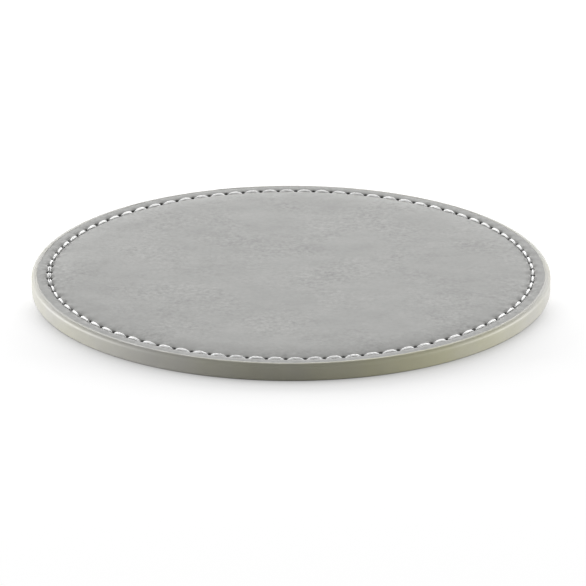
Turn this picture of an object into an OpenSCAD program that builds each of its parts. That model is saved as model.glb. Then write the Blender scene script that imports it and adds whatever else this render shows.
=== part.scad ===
// Round wine bottle coaster: leather over thin foam and a stiff board, with a backing
// underneath, a painted edge and one lockstitched seam all the way round.
// The origin is at the centre of the underside and +Z is up, towards the bottle.

/* [Coaster] */
// Overall diameter, over the painted edge
coaster_d = 120; // [90:1:160]

/* [Layers] */
// Thickness of the top leather
leather_t = 1.0; // [0.8:0.1:1.6]
// Thickness of the foam under the leather, where the seam doesn't crush it
foam_t = 0.7; // [0.6:0.1:1.2]
// Thickness of each dried glue film
glue_t = 0.1; // [0.05:0.05:0.2]
// Thickness of the stiff board in the middle
board_t = 1.3; // [1.2:0.1:3]
// Thickness of the backing that lies on the table
backing_t = 0.9; // [0.8:0.1:1.6]

/* [Edge] */
// Radius of the rounded upper edge of the leather
shoulder_r = 0.9; // [0.4:0.1:1.2]
// Radius of the rounded lower edge of the backing
foot_r = 0.3; // [0.1:0.1:0.6]
// Thickness of the paint on the cut edge
paint_t = 0.2; // [0.1:0.05:0.4]

/* [Seam] */
// Distance from the outer edge to the line of the seam
stitch_inset = 4.1; // [3:0.1:6]
// Length of one stitch, from needle hole to needle hole
stitch_length = 4.28; // [3.6:0.01:6]
// Angle of the first needle hole, from +X
seam_start = 176.6; // [0:0.1:360]
// Stitches sewn twice, where the end of the seam laps over its start
lap_count = 3; // [2:1:6]
// Width of the slope that falls from the flat seat to the seam
slope_w = 9; // [5:0.5:15]
// Share of the foam's thickness that the seam crushes
foam_crush = 0.85; // [0.5:0.05:0.95]
// Depth of the rim below the flat seat
rim_drop = 0.3; // [0.1:0.05:0.4]

/* [Thread] */
// Diameter of the needle thread, seen on top
thread_d = 0.7; // [0.5:0.05:0.9]
// Diameter of the bobbin thread, seen on the underside
bobbin_d = 0.5; // [0.4:0.05:0.6]
// Diameter of both threads where they are pulled tight in a needle hole
knot_d = 0.36; // [0.25:0.01:0.45]
// Clearance between a thread and what it passes
thread_gap = 0.04; // [0.02:0.01:0.1]
// Depth of the dimple that a stitch pulls into the leather at a needle hole
dimple_h = 0.5; // [0.3:0.05:0.7]

/* [Hidden] */

// Facets of the previewed discs, needle holes and rounded corners
disc_fn = 180;
hole_fn = 24;
corner_steps = 8;

// Heights of the layers, from the table up
board_z = backing_t + glue_t;
upper_glue_z = board_z + board_t;
foam_z = upper_glue_z + glue_t;
seat_z = foam_z + foam_t + leather_t;
rim_z = seat_z - rim_drop;

// Radii of the laminated stack, the seam and the flat seat
stack_r = coaster_d / 2 - paint_t;
seam_r = coaster_d / 2 - stitch_inset;
seat_r = seam_r - slope_w;
shoulder = min(shoulder_r, leather_t);
foot = min(foot_r, backing_t);
crest_r = stack_r - shoulder;

// Depth of the seam below the seat, and the leather's height along it
seam_dip = foam_t * foam_crush;
seam_z = seat_z - seam_dip;

// Stitches in one turn, and the angle of one
stitch_count = round(2 * PI * seam_r / stitch_length);
stitch_a = 360 / stitch_count;
last_hole = stitch_count + lap_count;

// Hooked loops of the two threads inside a needle hole
loop_share = 1.3;
loop_r = loop_share * (knot_d + thread_gap);
hole_r = loop_r + knot_d / 2 + thread_gap;
lap_shift = (thread_d + bobbin_d) / 2 - 3 * thread_gap;
knot_split = (loop_r + knot_d + thread_gap) / 2;

// Channel in the underside that keeps the bobbin thread off the table
channel_side = 0.15;
channel_h = bobbin_d + thread_gap;
channel_w = 2 * (lap_shift + hole_r + channel_side);

// Dimples of the top leather, and where a stitch leaves its needle hole
flare_share = 0.8;
flare = flare_share * thread_d;
leave_share = 1.15;
leave_d = loop_r + leave_share * flare;
leave_a = leave_d / seam_r * 180 / PI;
stitch_lift = thread_d / 2 + thread_gap;
knot_z = (channel_h + seam_z - dimple_h + loop_r) / 2;

// Sides of the two threads, and the angles of the rings round a loop
needle_sides = 6;
bobbin_sides = 5;
loop_angles = [30, 90, 150];
// Overshoot of a cut past the face that it opens
cut = 1;

// Height of the leather's upper face at a radius: flat seat, slope, seam, then the margin
function top_z(r) =
    r <= seat_r ? seat_z :
    r <= seam_r ? seat_z - seam_dip * pow((r - seat_r) / slope_w, 2) :
    r <= crest_r ? rim_z - (seam_dip - rim_drop) * pow((crest_r - r) / (crest_r - seam_r), 2) :
    rim_z;

// Radii at which the slope and the margin are drawn, from the seat to the crest of the rim
slope_steps = 6;
margin_steps = 3;
face_radii = concat(
    [for (i = [0 : slope_steps]) seat_r + slope_w * i / slope_steps],
    [for (i = [1 : margin_steps]) seam_r + (crest_r - seam_r) * i / margin_steps]);
upper_face = concat([[0, seat_z]], [for (r = face_radii) [r, top_z(r)]]);
lower_face = [for (i = [len(upper_face) - 1 : -1 : 0]) upper_face[i] - [0, leather_t]];

// Points of a rounded corner about a centre, from one angle to another
function corner(centre, radius, from, to) =
    [for (i = [0 : corner_steps])
        let (a = from + (to - from) * i / corner_steps)
        centre + radius * [cos(a), sin(a)]];

shoulder_centre = [crest_r, rim_z - shoulder];
foot_centre = [stack_r - foot, foot];

// Place of a needle hole: the second pass of the lap lies outside the first
function hole_angle(k) = seam_start + k * stitch_a;
function hole_shift(k) = k <= lap_count ? -lap_shift : k >= stitch_count ? lap_shift : 0;
function second_pass(k) = k >= stitch_count;
function out_dir(a) = [cos(a), sin(a), 0];
function along_dir(a) = [-sin(a), cos(a), 0];
function at_height(z) = [0, 0, z];

// Height of the hooked loops: in the lap the two passes hook at two depths
function knot_height(k) =
    k <= lap_count ? knot_z - knot_split :
    second_pass(k) ? knot_z + knot_split : knot_z;

// Rings of a thread through a needle hole: a leg in, the loop and a leg out, as [point, diameter].
// The loop turns at turn_z and hangs down (sense -1) or stands up (sense 1).
function loop_rings(k, dir, turn_z, sense, leg_z) =
    let (centre = (seam_r + hole_shift(k)) * out_dir(hole_angle(k)))
    concat(
        [[centre - loop_r * dir + at_height(leg_z), knot_d]],
        [for (a = loop_angles)
            [centre - loop_r * cos(a) * dir + at_height(turn_z + sense * loop_r * sin(a)), knot_d]],
        [[centre + loop_r * dir + at_height(leg_z), knot_d]]);

// The needle thread's loop hangs along the seam, and the bobbin thread's stands across it.
// In the second pass of the lap they change places.
function needle_loop(k) =
    loop_rings(k, second_pass(k) ? out_dir(hole_angle(k)) : along_dir(hole_angle(k)),
               knot_height(k), -1, seam_z - dimple_h);
function bobbin_loop(k) =
    loop_rings(k, second_pass(k) ? along_dir(hole_angle(k)) : out_dir(hole_angle(k)),
               knot_height(k) - loop_r, 1, channel_h - knot_d / 3);

// Point of a stitch on top, or of a run in the channel, at an angle past hole k
function run_shift(k, t) = hole_shift(k) * (1 - t) + hole_shift(k + 1) * t;
function top_point(k, a, t) =
    let (r = seam_r + run_shift(k, t))
    [r * out_dir(hole_angle(k) + a) + at_height(top_z(r) + stitch_lift), thread_d];
function channel_point(k, a, t) =
    [(seam_r + run_shift(k, t)) * out_dir(hole_angle(k) + a)
        + at_height(bobbin_d / 2 + thread_gap / 2), bobbin_d];

function stitch_rings(k) =
    [top_point(k, leave_a, 0), top_point(k, stitch_a / 2, 0.5), top_point(k, stitch_a - leave_a, 1)];
function channel_rings(k) =
    [channel_point(k, leave_a, 0), channel_point(k, stitch_a - leave_a, 1)];

// The seam starts and ends with a leg of the needle thread in a hole
loop_end = len(loop_angles) + 1;
needle_path = concat(
    [for (i = [loop_end - 1, loop_end]) needle_loop(0)[i]],
    stitch_rings(0),
    [for (k = [1 : last_hole - 1]) each concat(needle_loop(k), stitch_rings(k))],
    [for (i = [0, 1]) needle_loop(last_hole)[i]]);
bobbin_path = concat(
    channel_rings(0),
    [for (k = [1 : last_hole - 1]) each concat(bobbin_loop(k), channel_rings(k))]);

function unit(v) = v / norm(v);
// Direction of a path at ring i, and a normal carried along it without twist
function path_dir(path, i) =
    unit(path[min(i + 1, len(path) - 1)][0] - path[max(i - 1, 0)][0]);
function carried(normal, dir) = unit(normal - (normal * dir) * dir);
function path_normals(path) =
    [for (i = 0, n = carried([0.3, 0.5, 1], path_dir(path, 0)); i < len(path);
          i = i + 1, n = carried(n, path_dir(path, min(i, len(path) - 1)))) n];

// Closed tube along a path of [point, diameter] rings
module thread(path, sides) {
    normals = path_normals(path);
    rings = len(path);
    points = [for (i = [0 : rings - 1], j = [0 : sides - 1])
        let (n = normals[i], b = cross(path_dir(path, i), n), a = 360 * j / sides)
        path[i][0] + path[i][1] / 2 * (cos(a) * n + sin(a) * b)];
    wall = [for (i = [0 : rings - 2], j = [0 : sides - 1])
        let (p = i * sides + j, q = i * sides + (j + 1) % sides)
        each [[p, p + sides, q], [q, p + sides, q + sides]]];
    first = [for (j = [1 : sides - 2]) [0, j, j + 1]];
    end = (rings - 1) * sides;
    last = [for (j = [1 : sides - 2]) [end, end + j + 1, end + j]];
    polyhedron(points, concat(wall, first, last));
}

// Every needle hole, with two side by side where the seam laps
module each_hole() {
    for (k = [0 : stitch_count + lap_count])
        rotate(hole_angle(k)) translate([seam_r + hole_shift(k), 0, 0]) children();
}

module needle_holes(low, high) {
    each_hole() translate([0, 0, low - cut]) cylinder(h = high - low + 2 * cut, r = hole_r, $fn = hole_fn);
}

// Needle hole that opens into the dimple, which flares out past the leather's upper face
module dimpled_hole(low) {
    rotate_extrude($fn = hole_fn) polygon([
        [0, low - cut], [hole_r, low - cut], [hole_r, seam_z - dimple_h],
        [hole_r + 2 * flare, seam_z + dimple_h], [0, seam_z + dimple_h]]);
}

// A flat round layer with its needle holes
module layer(low, high) {
    difference() {
        translate([0, 0, low]) cylinder(h = high - low, r = stack_r, $fn = disc_fn);
        needle_holes(low, high);
    }
}

module top_leather() {
    color([0.69, 0.69, 0.67]) difference() {
        rotate_extrude($fn = disc_fn)
            polygon(concat(upper_face, corner(shoulder_centre, shoulder, 90, 0),
                           [[stack_r, rim_z - leather_t]], lower_face));
        each_hole() dimpled_hole(seam_z - leather_t);
    }
}

module foam_layer() {
    color([0.85, 0.84, 0.78]) difference() {
        rotate_extrude($fn = disc_fn)
            polygon(concat([[0, foam_z], [stack_r, foam_z], [stack_r, rim_z - leather_t]], lower_face));
        needle_holes(foam_z, seat_z);
    }
}

module upper_glue() {
    color([0.90, 0.82, 0.55]) layer(upper_glue_z, foam_z);
}

module core_board() {
    color([0.55, 0.47, 0.38]) layer(board_z, upper_glue_z);
}

module lower_glue() {
    color([0.90, 0.82, 0.55]) layer(backing_t, board_z);
}

module backing() {
    color([0.50, 0.50, 0.47]) difference() {
        rotate_extrude($fn = disc_fn)
            polygon(concat([[0, 0]], corner(foot_centre, foot, -90, 0), [[stack_r, backing_t], [0, backing_t]]));
        rotate_extrude($fn = disc_fn)
            translate([seam_r - channel_w / 2, -cut]) square([channel_w, channel_h + cut]);
        needle_holes(0, backing_t);
    }
}

// Paint over the cut edge, feathered out on the rounded corners
module edge_paint() {
    outward = [paint_t, 0];
    color([0.44, 0.45, 0.40]) rotate_extrude($fn = disc_fn)
        polygon(concat(
            corner(foot_centre, foot, -90, 0), corner(shoulder_centre, shoulder, 0, 90),
            [for (p = corner(shoulder_centre, shoulder, 90, 0)) p + outward],
            [for (p = corner(foot_centre, foot, 0, -90)) p + outward]));
}

module needle_thread() {
    color([0.95, 0.95, 0.93]) thread(needle_path, needle_sides);
}

module bobbin_thread() {
    color([0.90, 0.90, 0.87]) thread(bobbin_path, bobbin_sides);
}

top_leather();
foam_layer();
upper_glue();
core_board();
lower_glue();
backing();
edge_paint();
needle_thread();
bobbin_thread();
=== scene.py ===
# %% [markdown]
# A stitched leather coaster for a wine bottle
#
# The coaster is a flat disc of leather over thin foam and a stiff board. A coat of edge paint closes the
# cut side, and one ring of white lockstitching holds the layers together. The solids of all nine pieces
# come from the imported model, in metres, and this lesson dresses them. Every new piece is a surface worked
# out with numpy in the same frame, so nothing has to be moved into place.

import bmesh
import bpy
import numpy as np
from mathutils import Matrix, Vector


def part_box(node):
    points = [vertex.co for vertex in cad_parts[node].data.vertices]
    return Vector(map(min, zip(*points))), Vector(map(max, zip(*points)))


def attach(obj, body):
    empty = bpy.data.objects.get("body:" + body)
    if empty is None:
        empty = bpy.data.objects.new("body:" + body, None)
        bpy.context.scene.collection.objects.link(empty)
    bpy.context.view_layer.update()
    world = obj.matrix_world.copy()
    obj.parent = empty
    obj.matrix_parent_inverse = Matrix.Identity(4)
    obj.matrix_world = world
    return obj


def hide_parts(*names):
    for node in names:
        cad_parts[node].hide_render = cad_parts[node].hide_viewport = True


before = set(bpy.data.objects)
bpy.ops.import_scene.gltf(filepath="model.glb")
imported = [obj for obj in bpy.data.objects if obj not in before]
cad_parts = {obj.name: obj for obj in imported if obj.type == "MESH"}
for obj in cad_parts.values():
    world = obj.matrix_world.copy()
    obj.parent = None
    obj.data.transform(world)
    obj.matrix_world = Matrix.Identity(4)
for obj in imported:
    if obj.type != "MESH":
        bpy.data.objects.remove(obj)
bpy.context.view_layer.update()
print("solids:", ", ".join(sorted(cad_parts)))

# %% [markdown]
# Sizes
#
# Heights and radii that the solids already have are read from their boxes. What a box can't tell, such as
# where the seam runs and how the leather dips to it, is named here once and used by every piece below. A
# stitch is told by how high its middle lies and how thick it is at some distances from its needle hole.

# %% Measure the solids and name the seam
MM = 0.001

RIM_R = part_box("edge_paint")[1].x
RIM_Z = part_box("edge_paint")[1].z
STACK_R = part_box("top_leather")[1].x
SEAT_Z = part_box("top_leather")[1].z
FOAM_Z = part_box("foam_layer")[0].z
LEATHER_T = SEAT_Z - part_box("foam_layer")[1].z
SEAM_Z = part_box("top_leather")[0].z + LEATHER_T
BACKING_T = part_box("backing")[1].z

SHOULDER = 0.9 * MM
FOOT = 0.3 * MM
SLOPE_W = 9 * MM
SEAM_INSET = 4.1 * MM
SEAM_R = RIM_R - SEAM_INSET
SEAT_R = SEAM_R - SLOPE_W
CREST_R = STACK_R - SHOULDER
SHOULDER_AT = (CREST_R, RIM_Z - SHOULDER)
FOOT_AT = (STACK_R - FOOT, FOOT)

STITCHES = 82
LAPPED = 3
PITCH_A = 2 * np.pi / STITCHES
SEAM_START = np.radians(176.6)
HALF_PITCH = PITCH_A * SEAM_R / 2
LAP_SHIFT = 0.22 * MM

ARCH_ALONG = np.array([0.37, 0.56, 0.9, 1.4]) * MM
ARCH_LIFT = np.array([-0.36, -0.17, 0.03, 0.2, 0.26]) * MM
ARCH_D = np.array([0.4, 0.45, 0.51, 0.56, 0.58]) * MM
print(f"disc {2000 * RIM_R:.0f} mm wide, {1000 * SEAT_Z:.1f} mm thick, stitch {2000 * HALF_PITCH:.2f} mm")

# %% [markdown]
# Helpers for meshes
#
# A shape here is an array of points laid out in rows and columns. Its faces follow from the layout alone:
# each face joins two neighbouring rows and two neighbouring columns. Patches that share an edge are made
# with the same points along it, and a weld closes them into one skin.

# %% Turn arrays of points into a mesh
WELD = 0.5e-6


def grid_faces(index):
    """Four-cornered faces between neighbouring rows and columns of an array of point numbers."""
    corners = [index[..., :-1, :-1], index[..., 1:, :-1], index[..., 1:, 1:], index[..., :-1, 1:]]
    return np.stack(corners, axis=-1).reshape(-1, 4)


def close_round(index):
    """Point numbers with the first column again at the end, where a shape closes on itself."""
    return np.concatenate([index, index[:, :1]], axis=1)


def polar(radius, angle, height):
    """Points at a radius and an angle round the upright axis, at a height."""
    radius, angle, height = np.broadcast_arrays(radius, angle, height)
    return np.stack([radius * np.cos(angle), radius * np.sin(angle), height], axis=-1)


def count_open(mesh):
    """How many edges don't have exactly two faces: none on a closed piece."""
    sides = np.zeros(len(mesh.loops), dtype=np.int32)
    mesh.loops.foreach_get("edge_index", sides)
    return np.count_nonzero(np.bincount(sides) != 2)


def mesh_piece(name, points, faces, weld=True):
    """A mesh object from points and faces, welded where patches meet, smooth, with faces turned outwards."""
    mesh = bpy.data.meshes.new(name)
    mesh.from_pydata(points, [], faces)
    shell = bmesh.new()
    shell.from_mesh(mesh)
    if weld:
        bmesh.ops.remove_doubles(shell, verts=shell.verts, dist=WELD)
    bmesh.ops.recalc_face_normals(shell, faces=shell.faces)
    shell.to_mesh(mesh)
    shell.free()
    mesh.shade_smooth()
    piece = bpy.data.objects.new(name, mesh)
    bpy.context.scene.collection.objects.link(piece)
    print(f"{name}: {len(mesh.loops) - 2 * len(mesh.polygons)} triangles, {count_open(mesh)} open edges")
    return piece


print("one face between two rows and two columns:", grid_faces(np.arange(4).reshape(2, 2)).tolist())


# %% Give pieces their values and their place
def point_values(mesh, name, formula):
    """Writes a value for each point of a mesh, worked out by a formula from the rows of x, y and z."""
    spots = np.zeros(3 * len(mesh.vertices), dtype=np.float32)
    mesh.vertices.foreach_get("co", spots)
    layer = mesh.attributes.new(name, "FLOAT", "POINT")
    layer.data.foreach_set("value", formula(spots.reshape(-1, 3)).astype(np.float32))


def seat_piece(piece, node, material):
    """Gives a piece its finish and lets it stand for its solid."""
    piece.data.materials.append(material)
    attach(piece, "root")
    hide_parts(node)
    print(f"{piece.name} stands for {node}, in {material.name}")


def dress_solid(node, material):
    """Gives a solid that stays in the scene its finish."""
    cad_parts[node].data.materials.clear()
    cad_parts[node].data.materials.append(material)
    print(f"{node} stays, in {material.name}")


print(len(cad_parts), "solids to dress")

# %% [markdown]
# Helpers for finishes
#
# Each finish is a Principled shader fed by a few textures on Object coordinates, so a pattern keeps its
# real size. Node trees can be drawn by hand in the editor. Written down, they read best as a chain of
# values: each helper adds one node, takes plain values or the outputs of other nodes, and links the latter.


# %% Add and feed nodes
def feed(tree, socket, value):
    """Links an output to an input socket, or sets the input to a plain value."""
    if isinstance(value, bpy.types.NodeSocket):
        tree.links.new(value, socket)
    else:
        socket.default_value = value


def add_node(tree, kind, *fed, **named):
    """A node of a kind. Names set its settings and inputs, and then other values feed its inputs in order."""
    node = tree.nodes.new(kind)
    for key, value in named.items():
        if key in node.inputs:
            feed(tree, node.inputs[key], value)
        else:
            setattr(node, key, value)
    for socket, value in zip(node.inputs, fed):
        feed(tree, socket, value)
    return node


def maths(tree, operation, *fed, **settings):
    """Output of a Math node."""
    return add_node(tree, "ShaderNodeMath", *fed, operation=operation, **settings).outputs[0]


def vector_maths(tree, operation, *fed, **named):
    """Vector output of a Vector Math node."""
    return add_node(tree, "ShaderNodeVectorMath", *fed, operation=operation, **named).outputs["Vector"]


def blend(tree, kind, share, first, second):
    """Output of a Mix node for FLOAT or RGBA: the first value, which turns into the second with the share."""
    node = add_node(tree, "ShaderNodeMix", data_type=kind, Factor=share, A=first, B=second)
    return node.outputs["Result"]


def remap(tree, value, start, stop, **settings):
    """Output of a Map Range node, from the two ends in start to the two ends in stop."""
    return add_node(tree, "ShaderNodeMapRange", value, *start, *stop, **settings).outputs["Result"]


def soft_noise(tree, where, **named):
    """Value of a Noise Texture."""
    return add_node(tree, "ShaderNodeTexNoise", where, **named).outputs["Fac"]


print("helpers for nodes: maths, vector maths, blend, remap and soft noise")

# %% Start groups and finishes
PATTERN_SHIFT = (0.37, 0.21, 0.53)


def new_group(name, inputs, outputs):
    """An empty shader group with named sockets, and its two end nodes."""
    tree = bpy.data.node_groups.new(name, "ShaderNodeTree")
    for label, kind, value in inputs:
        socket = tree.interface.new_socket(label, in_out="INPUT", socket_type=kind)
        if value is not None:
            socket.default_value = value
    for label, kind in outputs:
        tree.interface.new_socket(label, in_out="OUTPUT", socket_type=kind)
    return tree, tree.nodes.new("NodeGroupInput"), tree.nodes.new("NodeGroupOutput")


def use_group(tree, group, *fed, **named):
    """A node that uses a shared group, fed like any other node."""
    return add_node(tree, "ShaderNodeGroup", *fed, node_tree=group, **named)


def new_finish(name, **values):
    """A material with one Principled shader, whose plain sockets are set by name."""
    finish = bpy.data.materials.new(name)
    finish.use_nodes = True
    shader = finish.node_tree.nodes["Principled BSDF"]
    for key, value in values.items():
        shader.inputs[key].default_value = value
    return finish, finish.node_tree, shader


def object_coords(tree):
    """Output socket of the Object coordinates, in metres."""
    return tree.nodes.new("ShaderNodeTexCoord").outputs["Object"]


def pattern_coords(tree):
    """Object coordinates moved off the origin, where noise of all sizes would show one common centre."""
    return vector_maths(tree, "ADD", object_coords(tree), PATTERN_SHIFT)


def bump(tree, shader, height, strength, distance):
    """Feeds a height through a Bump node into the shader's Normal."""
    node = add_node(tree, "ShaderNodeBump", Strength=strength, Distance=distance, Height=height)
    feed(tree, shader.inputs["Normal"], node.outputs["Normal"])


print("patterns start", PATTERN_SHIFT, "m away from the middle")

# %% [markdown]
# Effects that finishes share
#
# Leather, paint, nap and board all drift lighter and darker in patches, and leather, foam and board have
# a fine grain. Each such effect could be drawn anew in every material. As a node group it is built once,
# and each material places it with its own values. A third group is the twist of fibres in a thread.


# %% Cloudy tone
def cloudy_tone():
    """Colour times one plus a share of soft noise, so that it drifts lighter and darker in patches."""
    tree, start, end = new_group(
        "cloudy tone",
        [("Vector", "NodeSocketVector", None), ("Color", "NodeSocketColor", None),
         ("Scale", "NodeSocketFloat", 150.0), ("Amount", "NodeSocketFloat", 0.05)],
        [("Color", "NodeSocketColor")])
    place, scale = start.outputs["Vector"], start.outputs["Scale"]
    patches = soft_noise(tree, place, Scale=scale, Detail=3.0, Roughness=0.55)
    centred = maths(tree, "SUBTRACT", patches, 0.5)
    share = maths(tree, "MULTIPLY_ADD", centred, start.outputs["Amount"], 1.0)
    feed(tree, end.inputs["Color"], vector_maths(tree, "SCALE", start.outputs["Color"], Scale=share))
    return tree


CLOUDY_TONE = cloudy_tone()
print("group:", CLOUDY_TONE.name)

# %% Pebbled grain
BENT_BY = (0.6 * MM, 0.6 * MM, 0.6 * MM)
BEND_SCALE = 0.4
FINE_SCALE = 3.0
FINE_SHARE = 0.35
VALLEY_ENDS = (0.45, 0.8)


def pebbled_grain():
    """Height of small round cushions: one less the distance to the nearest of many points, plus fine noise.

    A wider noise bends the pattern a little. Valley rises from 0 to 1 where the distance is large."""
    tree, start, end = new_group(
        "pebbled grain",
        [("Vector", "NodeSocketVector", None), ("Scale", "NodeSocketFloat", 1500.0)],
        [("Height", "NodeSocketFloat"), ("Valley", "NodeSocketFloat")])
    place, scale = start.outputs["Vector"], start.outputs["Scale"]
    wider = maths(tree, "MULTIPLY", scale, BEND_SCALE)
    bend = add_node(tree, "ShaderNodeTexNoise", place, Scale=wider, Detail=2.0)
    bent = vector_maths(tree, "MULTIPLY_ADD", bend.outputs["Color"], BENT_BY, place)
    cells = add_node(tree, "ShaderNodeTexVoronoi", bent, feature="SMOOTH_F1", Scale=scale, Smoothness=0.35)
    away = cells.outputs["Distance"]
    fine = soft_noise(tree, place, Scale=maths(tree, "MULTIPLY", scale, FINE_SCALE), Detail=2.0)
    domed = maths(tree, "SUBTRACT", 1.0, away)
    feed(tree, end.inputs["Height"], maths(tree, "MULTIPLY_ADD", fine, FINE_SHARE, domed))
    feed(tree, end.inputs["Valley"], remap(tree, away, VALLEY_ENDS, (0.0, 1.0)))
    return tree


PEBBLED_GRAIN = pebbled_grain()
print("group:", PEBBLED_GRAIN.name)

# %% Twisted fibres
FIBRE_DRAWN = 0.25


def twisted_fibres():
    """Noise on a helix: the way round a thread, turned on with the way along it, is wrapped on a circle."""
    tree, start, end = new_group(
        "twisted fibres",
        [("UV", "NodeSocketVector", None), ("Turns", "NodeSocketFloat", 1.0),
         ("Fineness", "NodeSocketFloat", 4.0)],
        [("Height", "NodeSocketFloat")])
    parts = add_node(tree, "ShaderNodeSeparateXYZ", start.outputs["UV"])
    around, along = parts.outputs["X"], parts.outputs["Y"]
    turned = maths(tree, "MULTIPLY_ADD", along, start.outputs["Turns"], around)
    angle = maths(tree, "MULTIPLY", turned, 2 * np.pi)
    drawn = maths(tree, "MULTIPLY", along, FIBRE_DRAWN)
    circle = add_node(tree, "ShaderNodeCombineXYZ",
                      maths(tree, "COSINE", angle), maths(tree, "SINE", angle), drawn)
    fibres = soft_noise(tree, circle.outputs[0], Scale=start.outputs["Fineness"], Detail=3.0, Roughness=0.6)
    feed(tree, end.inputs["Height"], fibres)
    return tree


TWISTED_FIBRES = twisted_fibres()
print("group:", TWISTED_FIBRES.name)

# %% [markdown]
# The face of the leather
#
# Seen from the side, the face is flat where the bottle stands, falls gently to the seam, and rises again
# to the rim, because the thread crushes the foam under it. Near a needle hole the pull of the thread adds
# a funnel and a short crease across the seam. Each stitch presses a bed into the leather, deepest at its
# two ends, and the leather swells a little beside it. This could be sculpted by hand. Here it is one
# height over the radius and the angle, so it is the same at every stitch, and any patch can ask for it.

# %% Section of the face
FALL_POWER = 3
RISE_POWER = 4


def face_height(radius):
    """Flat to the seat's edge, down with a power of the way to the seam, and up likewise to the crest."""
    fall = np.clip((radius - SEAT_R) / SLOPE_W, 0, 1)
    rise = np.clip((CREST_R - radius) / (CREST_R - SEAM_R), 0, 1)
    inside = SEAT_Z - (SEAT_Z - SEAM_Z) * fall**FALL_POWER
    margin = RIM_Z - (RIM_Z - SEAM_Z) * rise**RISE_POWER
    return np.where(radius <= SEAM_R, inside, margin)


def back_height(radius, angle):
    """Back of the leather and top of the foam: the face's section, one leather thickness lower."""
    return face_height(radius) + 0 * angle - LEATHER_T


def level(height):
    """A height function that is the same all over."""
    return lambda radius, angle: height + 0 * radius * angle


print(f"seam lies {1e6 * (SEAT_Z - SEAM_Z):.0f} microns under the seat")

# %% Place along the seam
HOLE_ALONG = 0.48 * MM
HOLE_ACROSS = 0.42 * MM
LAYER_HOLE = 0.66 * MM


def hole_reach(hole, across=HOLE_ACROSS):
    """Half length of a needle hole across the seam: longer where the seam laps and two threads share it."""
    return across + LAP_SHIFT * (hole % STITCHES <= LAPPED)


def seam_place(radius, angle):
    """Way along the seam from the nearest needle hole, way outwards from the seam, and the hole's number."""
    turn = (angle - SEAM_START) / PITCH_A
    hole = np.round(turn)
    return (turn - hole) * 2 * HALF_PITCH, radius - SEAM_R, hole.astype(int) % STITCHES


def lap_share(angle):
    """1 along the stitches of the lap, fading to 0 half a stitch before and after them."""
    turn = ((angle - SEAM_START) / PITCH_A + STITCHES / 2) % STITCHES - STITCHES / 2
    beyond = np.abs(turn - LAPPED / 2) - LAPPED / 2
    return np.clip(1 - 2 * beyond, 0, 1)


print(f"needle holes {2000 * HOLE_ALONG:.2f} by {2000 * HOLE_ACROSS:.2f} mm in the face")

# %% Height of the whole face
DIMPLE_H = 0.4 * MM
FUNNEL_REACH = 1.65
CREASE_H = 0.06 * MM
CREASE_W = 0.45 * MM
CREASE_END = 2.0 * MM
SWELL_H = 0.05 * MM
SWELL_AT = 1.5 * MM
SWELL_W = 0.9 * MM
BED_W = 0.25 * MM
BED_GAP = 0.05 * MM
BED_ALONG = np.append(ARCH_ALONG, HALF_PITCH)
BED_H = ARCH_D / 2 - ARCH_LIFT + BED_GAP
WAVE_H = 0.008 * MM
WAVES = np.array([[170, 90, 0.4], [-110, 210, 2.1], [300, -60, 4.0]])


def thread_pull(radius, angle):
    """Funnel and crease at each hole, bed under each stitch and swellings beside it, as a height.

    The bed is as deep as the thread's lower side, and fades to both sides as a bell curve. Where it meets
    the funnel, the deeper one counts."""
    along, out, hole = seam_place(radius, angle)
    rho = np.hypot(along / HOLE_ALONG, out / hole_reach(hole))
    funnel = np.clip((FUNNEL_REACH - rho) / (FUNNEL_REACH - 1), 0, 1) ** 2
    fade = np.clip(1 - np.abs(out) / CREASE_END, 0, 1) ** 2
    crease = np.exp(-((along / CREASE_W) ** 2)) * fade
    between = np.sin(np.pi * along / (2 * HALF_PITCH)) ** 2
    swell = between * np.exp(-(((np.abs(out) - SWELL_AT) / SWELL_W) ** 2))
    width = BED_W + LAP_SHIFT * lap_share(angle)
    bed = np.interp(np.abs(along), BED_ALONG, BED_H) * np.exp(-((out / width) ** 2))
    return SWELL_H * swell - CREASE_H * crease * (1 - funnel) - np.maximum(bed, DIMPLE_H * funnel)


def soft_waves(radius, angle):
    """Sum of a few long sine waves over x and y, because leather over foam never lies perfectly flat."""
    x, y = radius * np.cos(angle), radius * np.sin(angle)
    phase = np.stack([x, y, np.ones_like(x)], axis=-1) @ WAVES.T
    return WAVE_H * np.sin(phase).sum(axis=-1)


def leather_height(radius, angle):
    """The whole face: section, pull of the thread and soft waves."""
    return face_height(radius) + thread_pull(radius, angle) + soft_waves(radius, angle)


print(f"the thread's bed is up to {1000 * BED_H.max():.2f} mm deep")

# %% [markdown]
# A sheet with a ring of needle holes
#
# Leather, foam and backing are all discs that the same needle pierced. A hole could be cut with a boolean,
# but that leaves ragged faces. Here the ring along the seam is divided into one cell for each hole, and in
# each cell the points run from the round rim of the hole to the four sides of the cell. Inside and outside
# the ring, plain polar rows carry on from the same points, and far from the seam they thin out.

# %% Cells round the needle holes
SIDE_T = 10
SIDE_R = 12
SIDE_POWER = 1.8
LAYER_POWER = 1.6


def cell_sides():
    """Points round a square from -1 to 1, starting at its inner corner, closer together near the seam."""
    t = np.linspace(-1, 1, SIDE_T + 1)[:-1]
    r = np.linspace(-1, 1, SIDE_R + 1)[:-1]
    r = np.sign(r) * np.abs(r) ** SIDE_POWER
    x = np.concatenate([t, np.ones(SIDE_R), -t, -np.ones(SIDE_R)])
    y = np.concatenate([-np.ones(SIDE_T), r, np.ones(SIDE_T), -r])
    return x, y


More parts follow.
